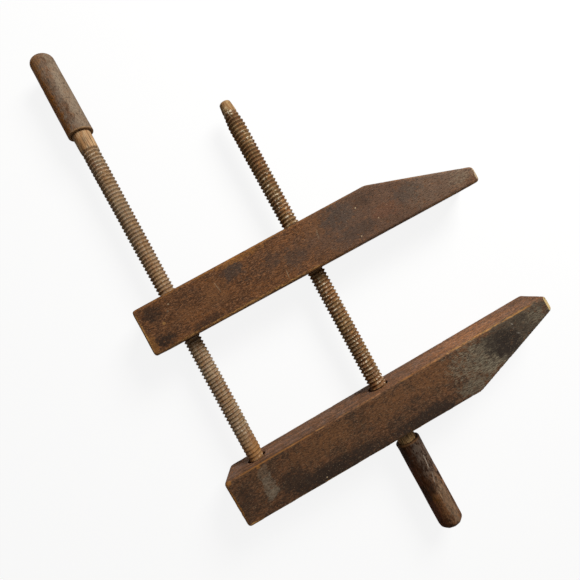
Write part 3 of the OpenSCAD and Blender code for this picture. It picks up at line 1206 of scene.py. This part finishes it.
@dataclass
class Studio:
    """Pale floor, soft light from the upper right of the view, and the camera straight above.

    Attributes:
        focal_px: Focal length in pixels of a square view that is view_px wide.
        key_from: Direction of the lamp from the middle of the view.
        lit: Colour of the floor for rays that light the clamp.
        seen_tone: Colour of the floor where it is seen.
        least_white: Share of plain white in the floor under the clamp, so that its shadow is faint.
        fade: Distances from the origin where the floor begins to turn white and where it is all white.
    """

    eye_mm: Point = (-33.8, 160.6, 510.0)
    turn_deg: float = -28.55
    focal_px: float = 453.3
    view_px: int = 580
    sensor_mm: float = 36
    clip_start: float = 0.01
    sky: float = 0.15
    key_watts: float = 22.8
    key_from: Point = (0.75, 0.55, 0.75)
    key_far: float = 1.3
    key_side: float = 0.55
    floor_half: float = 40
    floor_drop_mm: float = 0.2
    lit: str = "#8e8a86"
    seen_tone: str = "#f2f0ec"
    white: str = "#ffffff"
    least_white: float = 0.88
    fade: Span = (0.7, 3.0)

    def build(self) -> None:
        """Set up the camera, hang the lamp, light the sky and lay the floor."""
        scene = bpy.context.scene
        scene.view_settings.view_transform = "Standard"
        eye = bpy.data.cameras.new("camera")
        eye.sensor_width = self.sensor_mm
        eye.lens = self.sensor_mm * self.focal_px / self.view_px
        eye.clip_start = self.clip_start
        camera = bpy.data.objects.new("camera", eye)
        camera.location = Vector(self.eye_mm) * MM
        camera.rotation_euler = (0, 0, math.radians(self.turn_deg))
        bpy.context.collection.objects.link(camera)
        scene.camera = camera
        lamp = bpy.data.lights.new("key", "AREA")
        lamp.energy = self.key_watts
        lamp.size = self.key_side
        key = bpy.data.objects.new("key", lamp)
        middle = Vector((self.eye_mm[0], self.eye_mm[1], 0)) * MM
        aim = Vector(self.key_from).normalized()
        key.location = middle + aim * self.key_far
        key.rotation_euler = aim.to_track_quat("Z", "Y").to_euler()
        bpy.context.collection.objects.link(key)
        self.light_sky(scene)
        self.lay_floor()

    def seen(self, tree: bpy.types.NodeTree) -> Socket:
        """Tell rays that show the background from rays that light the object.

        Args:
            tree: The node tree that asks.

        Returns:
            A socket that is 1 for rays of the first kind.
        """
        path = add_node(tree, "ShaderNodeLightPath")
        seen = path.outputs["Is Camera Ray"]
        for kind in ("Is Glossy Ray", "Is Transmission Ray"):
            seen = add_node(tree, "ShaderNodeMath", {"operation": "MAXIMUM"}, {
                0: seen, 1: path.outputs[kind],
            }).outputs[0]
        return seen

    def light_sky(self, scene: bpy.types.Scene) -> None:
        """Light the scene softly from all round.

        Args:
            scene: The scene that gets the world.
        """
        world = bpy.data.worlds.new("studio")
        scene.world = world
        world.use_nodes = True
        tree = world.node_tree
        tree.nodes.clear()
        soft, white = (
            add_node(tree, "ShaderNodeBackground", None, {"Color": linear(self.white), "Strength": strength})
            for strength in (self.sky, 1.0)
        )
        mix = add_node(tree, "ShaderNodeMixShader", None, {
            0: self.seen(tree), 1: soft.outputs[0], 2: white.outputs[0],
        })
        add_node(tree, "ShaderNodeOutputWorld", None, {"Surface": mix.outputs[0]})

    def lay_floor(self) -> None:
        """Lay a wide white floor that keeps the clamp's shadow."""
        corners = np.array([[-1, -1, 0], [1, -1, 0], [1, 1, 0], [-1, 1, 0]]) * self.floor_half
        floor = mesh_object("floor", corners - (0, 0, self.floor_drop_mm * MM), [(0, 1, 2, 3)])
        # uncoated paper, rolled matt, which takes a soft shadow and shows no gloss
        paper = bpy.data.materials.new("matt white paper")
        paper.use_nodes = True
        tree = paper.node_tree
        tree.nodes.clear()
        seen = self.seen(tree)
        tone = add_node(tree, "ShaderNodeMix", {"data_type": "RGBA"}, {
            0: seen, 6: linear(self.lit), 7: linear(self.seen_tone),
        })
        matt = add_node(tree, "ShaderNodeBsdfDiffuse", None, {"Color": tone.outputs[2]})
        white = add_node(tree, "ShaderNodeEmission", None, {"Color": linear(self.white), "Strength": 1.0})
        place = add_node(tree, "ShaderNodeTexCoord")
        far = add_node(tree, "ShaderNodeVectorMath", {"operation": "LENGTH"}, {0: place.outputs["Object"]})
        fade = add_node(tree, "ShaderNodeMapRange", None, {
            "Value": far.outputs["Value"], "From Min": self.fade[0], "From Max": self.fade[1],
            "To Min": self.least_white, "To Max": 1.0,
        })
        share = add_node(tree, "ShaderNodeMath", {"operation": "MULTIPLY"}, {0: seen, 1: fade.outputs[0]})
        mix = add_node(tree, "ShaderNodeMixShader", None, {
            0: share.outputs[0], 1: matt.outputs[0], 2: white.outputs[0],
        })
        add_node(tree, "ShaderNodeOutputMaterial", None, {"Surface": mix.outputs[0]})
        floor.data.materials.append(paper)


UPPER_MARKS = (
    Mark((104, 192, 51), (118, 40, 9), Tint.MAUVE, 0.85, ragged=0.3),
    Mark((-168, 206, 51), (13, 9, 9), Tint.GRIME_AND_SHADE, 0.75),
    Mark((-171, 176, 51), (15, 7, 9), Tint.GRIME_AND_SHADE, 0.9),
    Mark((-121, 172, 51), (20, 5, 9), Tint.GRIME_AND_SHADE, 0.7),
    Mark((-76, 205, 51), (14, 10, 9), Tint.SMOKE, 0.7),
    Mark((-36, 196, 51), (12, 8, 9), Tint.SMOKE, 0.45),
    Mark((-13, 187, 51), (15, 12, 9), Tint.SMOKE, 0.55),
    Mark((44, 203, 51), (22, 13, 9), Tint.SOOT, 0.55),
    Mark((54, 180, 51), (26, 9, 9), Tint.SMOKE, 0.5),
    Mark((118, 191, 51), (18, 11, 9), Tint.SMOKE, 0.65),
    Mark((74, 206, 51), (12, 7, 9), Tint.GRIME_AND_SHADE, 0.4),
    Mark((-100, 194, 51), (18, 12, 9), Tint.WARM, 0.6),
    Mark((-62, 214, 51), (30, 3.5, 9), Tint.RUBBED, 0.5),
    Mark((89, 186, 51), (17, 9, 9), Tint.RED, 0.3),
    Mark((18, 206, 51), (10, 13, 9), Tint.WARM, 0.45),
    Mark((-140, 190, 51), (16, 8, 9), Tint.WARM, 0.4),
    Mark((152, 186, 51), (46, 26, 9), Tint.DUST_AND_SHEEN, 0.12, ragged=0.5),
    Mark((172, 179, 51), (14, 9, 9), Tint.ASH, 0.4, streaked=True),
    Mark((-183, 178, 51), (6, 14, 5), Tint.RUBBED, 0.5, ragged=0.8),
    Mark((-185.6, 192, 51), (3.0, 27, 3), Tint.BARE, 0.95, ragged=0.6),
    Mark((-80, 168.2, 51), (108, 1.5, 3), Tint.BARE, 0.9, ragged=0.5, streaked=True),
    Mark((-85, 217, 51), (102, 2.0, 3), Tint.RUBBED, 0.9, ragged=0.7, streaked=True),
    Mark((-162, 192, 51), (2.0, 1.6, 3), Tint.BARE, 0.6, ragged=0.6),
    Mark((-149, 207, 51), (1.4, 1.1, 3), Tint.SPECK_AND_GLINT, 0.7, ragged=0.5),
    Mark((-153, 201, 51), (1.2, 0.9, 3), Tint.SPECK_AND_GLINT, 0.7, ragged=0.5),
    Mark((-97, 198, 51), (7, 0.6, 3), Tint.SPECK_AND_GLINT, 0.4, -80, 0.5),
    Mark((-28, 176, 51), (5.5, 0.5, 3), Tint.SPECK_AND_GLINT, 0.6, 83, 0.4),
    Mark((18, 198, 51), (6, 0.5, 3), Tint.SPECK_AND_GLINT, 0.5, 80, 0.4),
    Mark((64, 202, 51), (1.0, 0.8, 3), Tint.PALE, 0.8, ragged=0.3),
    Mark((80, 182, 51), (0.8, 0.7, 3), Tint.PALE, 0.6, ragged=0.3),
    Mark((56, 174, 51), (0.9, 0.7, 3), Tint.PALE, 0.8, ragged=0.3),
)

LOWER_MARKS = (
    Mark((-175, 1, 51), (12, 15, 9), Tint.GRIME_AND_SHADE, 0.5),
    Mark((-122, -7, 51), (17, 13, 9), Tint.GRIME_AND_SHADE, 0.75),
    Mark((-77, -19, 51), (66, 12, 9), Tint.GRIME_AND_SHADE, 0.9, ragged=0.7),
    Mark((24, -20, 51), (44, 10, 9), Tint.GRIME_AND_SHADE, 0.9, ragged=0.7),
    Mark((-92, 11, 51), (26, 13, 9), Tint.WARM, 0.4),
    Mark((-62, 13, 51), (22, 11, 9), Tint.WARM, 0.5),
    Mark((52, 14, 51), (28, 14, 9), Tint.WARM, 0.5),
    Mark((-5, 8, 51), (28, 13, 9), Tint.WARM, 0.45),
    Mark((-146, 11, 51), (12, 6.5, 9), Tint.SMEAR, 0.4, 82, 1.0, square=True),
    Mark((-147, 0, 51), (12, 7, 9), Tint.SMEAR, 0.6, 80, 1.0, square=True),
    Mark((-147, -8, 51), (9, 4, 9), Tint.SMEAR, 0.65, 28, 1.0, square=True),
    Mark((140, 8, 51), (62, 25, 9), Tint.OLIVE, 0.9, 8, 0.8),
    Mark((98, 2, 51), (36, 23, 9), Tint.ASH, 0.68, -12, 1.2, streaked=True),
    Mark((113, -8, 51), (16, 8, 9), Tint.ASH, 0.6, streaked=True),
    Mark((82, -17, 51), (19, 9, 9), Tint.OLIVE, 0.7),
    Mark((82, -18, 51), (17, 8, 9), Tint.ASH, 0.55, streaked=True),
    Mark((172, 14, 51), (14, 10, 9), Tint.ASH, 0.45, streaked=True),
    Mark((131, 6, 51), (24, 17, 9), Tint.SCORCH, 0.7, ragged=0.8),
    Mark((133, 4, 51), (17, 12, 9), Tint.SCORCH, 0.7, ragged=0.7),
    Mark((156, 12, 51), (16, 12, 9), Tint.SCORCH, 0.3),
    # painted glints, where scratches catch the lamp
    Mark((148, 18, 51), (1.4, 0.6, 3), Tint.GLINT, 0.7, -50, 0.4),
    Mark((147, 14, 51), (1.0, 0.5, 3), Tint.GLINT, 0.6, -50, 0.4),
    Mark((149, 7, 51), (2.4, 0.5, 3), Tint.GLINT, 0.4, -35, 0.4),
    Mark((-147, 23, 51), (2.4, 1.8, 3), Tint.RUBBED, 0.9, ragged=0.5),
    Mark((-182, 24, 51), (4, 3, 4), Tint.RUBBED, 0.8, ragged=0.5),
    Mark((-185.6, 0, 51), (3.0, 26, 3), Tint.RUBBED, 0.9, ragged=0.6),
    Mark((-178, -25, 50), (12, 2.6, 4), Tint.BARE, 0.9, ragged=0.6),
    Mark((-100, -25.6, 50.4), (90, 1.8, 3), Tint.BARE, 0.8, ragged=0.7, streaked=True),
    Mark((110, 25.6, 50.4), (85, 1.2, 3), Tint.BARE, 0.85, ragged=0.8, streaked=True),
    Mark((-92, -21, 51), (1.0, 0.8, 3), Tint.PALE, 0.7, ragged=0.3),
    Mark((110, 29, 25), (100, 4, 60), Tint.FACE, 0.85, ragged=0.6),
)

MIDDLE_HANDLE_MARKS = (
    Mark((110, 0, 36), (34, 14, 14), Tint.WARM, 0.25, ragged=1.0),
    # painted shade along the whole side of the handle away from the lamp
    Mark((70, -11, 30), (130, 12, 24), Tint.PAINTED_SHADE, 0.9, ragged=0.4),
    Mark((74, -11, 31), (16, 4, 12), Tint.RED, 0.6, ragged=1.0),
    Mark((118, -9, 31), (18, 5, 12), Tint.RED, 0.5, ragged=1.0),
    Mark((93, -1, 38), (9, 5, 8), Tint.GRIME_AND_SHADE, 0.6),
    # painted highlights along the polished ridges on the lit side
    Mark((60, 6, 38), (4, 0.6, 6), Tint.GLINT, 0.5, -4, 0.5),
    Mark((67, 5.4, 38), (5, 0.6, 6), Tint.GLINT, 0.55, -8, 0.5),
    Mark((83, 4, 38), (7, 0.7, 6), Tint.GLINT, 0.4, -14, 0.5),
    # pale streaks painted as highlights on the polished ridge
    Mark((95, 6, 38), (4, 0.6, 6), Tint.SPECK_AND_GLINT, 0.5, ragged=0.5),
    Mark((101, 2, 38), (5, 0.6, 6), Tint.SPECK_AND_GLINT, 0.5, ragged=0.5),
    Mark((104, -4, 38), (7, 4, 8), Tint.RUBBED, 0.2),
    Mark((112, 3, 38), (18, 10, 12), Tint.WARM, 0.4),
    # dust and painted sheen on the side toward the lamp
    Mark((112, 6, 37), (34, 6, 10), Tint.DUST_AND_SHEEN, 0.3, ragged=0.9),
)

END_HANDLE_MARKS = (
    Mark((-452, -164, 28), (110, 13, 26), Tint.RUST, 0.9, ragged=0.5),
    # dust and painted sheen on the side toward the lamp
    Mark((-452, -140, 34), (60, 7, 14), Tint.DUST_AND_SHEEN, 0.4, ragged=0.7),
    Mark((-496, -156, 34), (14, 8, 14), Tint.RUBBED, 0.4),
    Mark((-449, -145, 37), (0.6, 7, 12), Tint.GRIME_AND_SHADE, 0.4, ragged=0.3),
)

SOOTY_BEECH = OiledJawWood(
    name="oiled beech, sooty",
    ground="#66462c", deep="#33251b", warm="#7a4d2e", smoke="#40352b", fleck="#7f5b41", face="#aa7653",
    cut=Tint.CUT, pith=(0, 34, 70), seed=4.0, marks=LOWER_MARKS,
)
HANDLED_BEECH = OiledJawWood(
    name="oiled beech, handled",
    ground="#764b28", deep="#3e281a", warm="#875530", smoke="#4d3a2d", fleck="#966846", face="#8a6244",
    cut=Tint.SPECK_AND_GLINT, pith=(0, 160, -22), seed=21.0, marks=UPPER_MARKS,
)
# its shank colour is lightened, as painted light against the lower jaw's shadow on it
DARK_STICK = ThreadedScrewWood(
    name="boxed screw wood, dark",
    ground="#7d623f", deep="#4c311a", tone="#7b4a24", pale="#9c8563", root_dust_and_light="#7e5936", shank="#c19b69",
    dirt=0.4, nicks=0.9, nose=0.45, bearing=0.0, pith=(0, 3, 24), seed=7.0,
)
GREY_STICK = ThreadedScrewWood(
    name="boxed screw wood, grey",
    ground="#90795c", deep="#6f563b", tone="#8c673f", pale="#b3a28c", root_dust_and_light="#9a7f5e", shank="#ba966d",
    dirt=0.2, nicks=0.5, nose=0.0, bearing=0.6, pith=(0, -148, 24), seed=31.0,
)
DARK_GRIP = PolishedHandleWood(
    name="palm-polished handle wood, dark",
    ground="#775236", deep="#291910", dusty="#886f5a", rim="#64452b",
    dust=0.2, soot=0.85, soot_mm=42, mottle=0.95, pith=(0, 4, 21), seed=11.0, marks=MIDDLE_HANDLE_MARKS,
)
# its rim is lighter: worn wood, and painted light on the rim's face, which turns from the lamp
DUSTY_GRIP = PolishedHandleWood(
    name="palm-polished handle wood, dusty",
    ground="#694d39", deep="#48311f", dusty="#7e7162", rim="#94714c",
    dust=0.55, soot=0.0, soot_mm=30, mottle=0.25, pith=(0, -147, 30), seed=41.0, marks=END_HANDLE_MARKS,
)


def main() -> None:
    """Build the clamp, dress it and report each piece."""
    logging.basicConfig(level=logging.INFO, format="%(name)s: %(message)s")
    Studio().build()
    mounts = {m["name"]: m for m in frame["record"]["mounts"]}
    face = mounts["lower_clamping_face"]["axis"]
    skew = math.atan2(-face[0], face[1])
    middle = Screw(
        "middle_screw", DARK_STICK, "middle_screw_turn", Heading.UP,
        shank_l_mm=51, rub_mm=0.12, tip_rub_mm=0.0, seed=5.1,
    )
    end = Screw(
        "end_screw", GREY_STICK, "end_screw_turn", Heading.DOWN,
        shank_l_mm=21, rub_mm=0.25, tip_rub_mm=0.6, seed=8.8,
    )
    parts: list[Jaw | Screw | Handle] = [
        Jaw("lower_jaw", SOOTY_BEECH, grain=skew, faces=Heading.UP, tip_cut_mm=3.2, seed=3.7),
        Jaw("upper_jaw", HANDLED_BEECH, grain=0.0, faces=Heading.DOWN, tip_cut_mm=1.8, seed=12.3),
        middle,
        end,
        Handle(
            "middle_handle", DARK_GRIP, middle,
            rim_d_mm=27, end_d_mm=27, facets=10, facet_share=0.6, seed=2.2,
        ),
        Handle(
            "end_handle", DUSTY_GRIP, end,
            rim_d_mm=27.5, end_d_mm=26, facets=16, facet_share=0.3, seed=6.4,
        ),
    ]
    for part in parts:
        piece = part.build()
        part.dress(piece)
        LOG.info("%s: %d faces", piece.name, len(piece.data.polygons))


if __name__ == "__main__":
    main()
